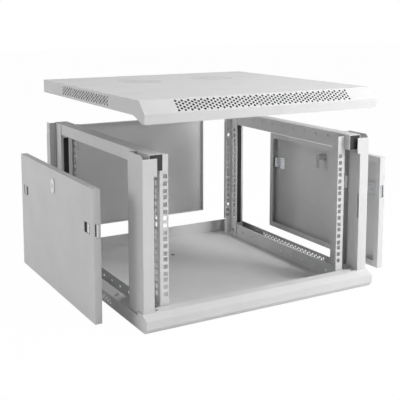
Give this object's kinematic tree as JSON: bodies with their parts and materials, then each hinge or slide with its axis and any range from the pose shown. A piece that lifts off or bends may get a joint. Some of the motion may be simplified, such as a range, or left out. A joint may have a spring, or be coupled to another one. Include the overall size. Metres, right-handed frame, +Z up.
{
  "type": "wall-mount rack cabinet",
  "caption": "Wall-mount rack cabinet frame set out with vented cover lifted, latching side panels and rear panel taken off, square-hole rails bolted between beams.",
  "frame": {"origin": "middle of the base's underside, on the floor", "axes": "+X to the cabinet's right seen from the front, +Y to the back, +Z up"},
  "size_m": [0.795, 0.732, 0.478],
  "materials": {
    "powder_coat": "fine-textured light grey powder coat",
    "bolt_steel": "zinc-plated",
    "latch_zinc": "bright zinc",
    "lock_metal": "nickel-plated",
    "cap_plastic": "black moulded plastic"
  },
  "bodies": {
    "frame": {"base_pan": "powder_coat", "left_skirt": "powder_coat", "left_front_post": "powder_coat", "left_rear_post": "powder_coat", "left_upper_beam": "powder_coat", "left_beam_cap": "cap_plastic", "left_lower_beam": "powder_coat", "left_front_rail": "powder_coat", "left_rear_rail": "powder_coat", "right_skirt": "powder_coat", "right_front_post": "powder_coat", "right_rear_post": "powder_coat", "right_upper_beam": "powder_coat", "right_beam_cap": "cap_plastic", "right_lower_beam": "powder_coat", "right_front_rail": "powder_coat", "right_rear_rail": "powder_coat", "rail_bolts": "bolt_steel", "foot_bolts": "bolt_steel"},
    "cover": {"top_cover": "powder_coat"},
    "left_panel": {"left_side_panel": "powder_coat", "left_lock_barrel": "lock_metal", "left_lock_nut": "lock_metal"},
    "left_front_latch": {"left_front_latch": "latch_zinc"},
    "left_rear_latch": {"left_rear_latch": "latch_zinc"},
    "left_lock": {"left_lock_plug": "lock_metal"},
    "right_panel": {"right_side_panel": "powder_coat", "right_lock_barrel": "lock_metal", "right_lock_nut": "lock_metal"},
    "right_front_latch": {"right_front_latch": "latch_zinc"},
    "right_rear_latch": {"right_rear_latch": "latch_zinc"},
    "right_lock": {"right_lock_plug": "lock_metal"},
    "rear_panel": {"rear_panel": "powder_coat"}
  },
  "joints": [
    {"name": "cover_seat", "type": "slide", "parent": "frame", "child": "cover", "axis": [0, 0, -1], "range_m": [0, 0.11]},
    {"name": "left_panel_seat", "type": "slide", "parent": "frame", "child": "left_panel", "axis": [0.9124, 0, 0.4094], "range_m": [0, 0.08549]},
    {"name": "left_front_latch_slide", "type": "slide", "parent": "left_panel", "child": "left_front_latch", "axis": [0, -1, 0], "range_m": [0, 0.007]},
    {"name": "left_rear_latch_slide", "type": "slide", "parent": "left_panel", "child": "left_rear_latch", "axis": [0, 1, 0], "range_m": [0, 0.007]},
    {"name": "left_lock_turn", "type": "hinge", "parent": "left_panel", "child": "left_lock", "pos_m": [-0.374, 0.033, 0.2555], "axis": [1, 0, 0], "range_deg": [0, 180]},
    {"name": "right_panel_seat", "type": "slide", "parent": "frame", "child": "right_panel", "axis": [-0.9522, 0, 0.3055], "range_m": [0, 0.12602]},
    {"name": "right_front_latch_slide", "type": "slide", "parent": "right_panel", "child": "right_front_latch", "axis": [0, -1, 0], "range_m": [0, 0.007]},
    {"name": "right_rear_latch_slide", "type": "slide", "parent": "right_panel", "child": "right_rear_latch", "axis": [0, 1, 0], "range_m": [0, 0.007]},
    {"name": "right_lock_turn", "type": "hinge", "parent": "right_panel", "child": "right_lock", "pos_m": [0.416, 0.033, 0.252], "axis": [1, 0, 0], "range_deg": [0, 180]},
    {"name": "rear_panel_seat", "type": "slide", "parent": "frame", "child": "rear_panel", "axis": [0, -1, 0], "range_m": [0, 0.132]}
  ]
}
